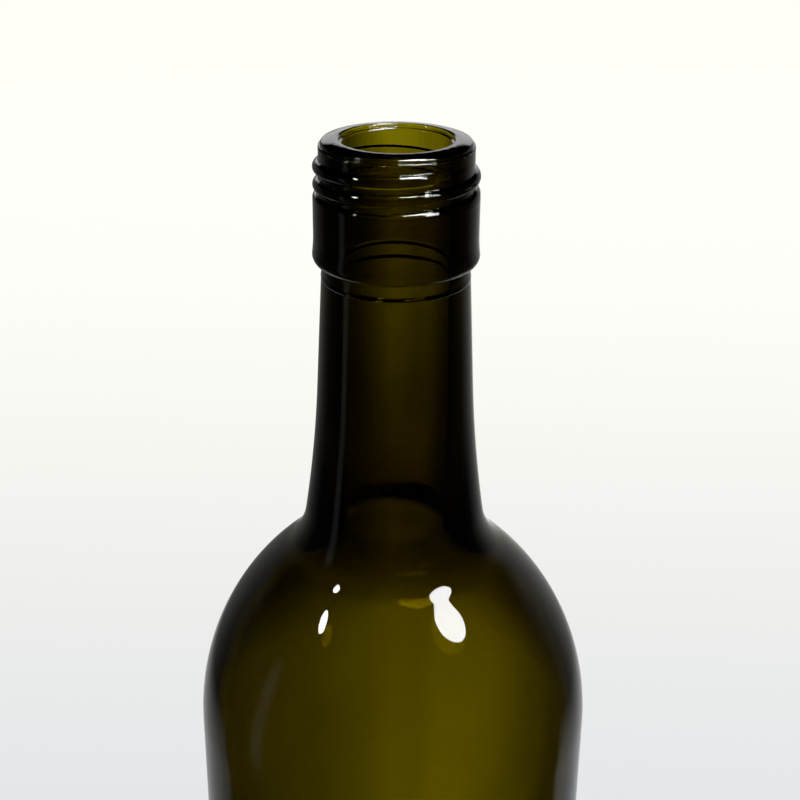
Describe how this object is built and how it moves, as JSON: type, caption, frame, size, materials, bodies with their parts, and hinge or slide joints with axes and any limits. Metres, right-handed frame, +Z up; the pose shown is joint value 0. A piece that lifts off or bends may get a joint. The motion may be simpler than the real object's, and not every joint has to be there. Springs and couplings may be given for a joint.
{
  "type": "wine bottle",
  "caption": "Tall round glass wine bottle, open and empty, with a straight body, round shoulder, long neck and a screw finish.",
  "frame": {"origin": "centre of the bearing surface that the bottle stands on", "axes": "+Z up along the bottle's axis, from the base to the mouth; the bottle is round, so X and Y are free"},
  "size_m": [0.0762, 0.0762, 0.299],
  "materials": {
    "glass": "dark olive green soda-lime container glass, blown in a mould, clear and glossy"
  },
  "bodies": {
    "root": {"bottle": "glass"}
  },
  "joints": []
}
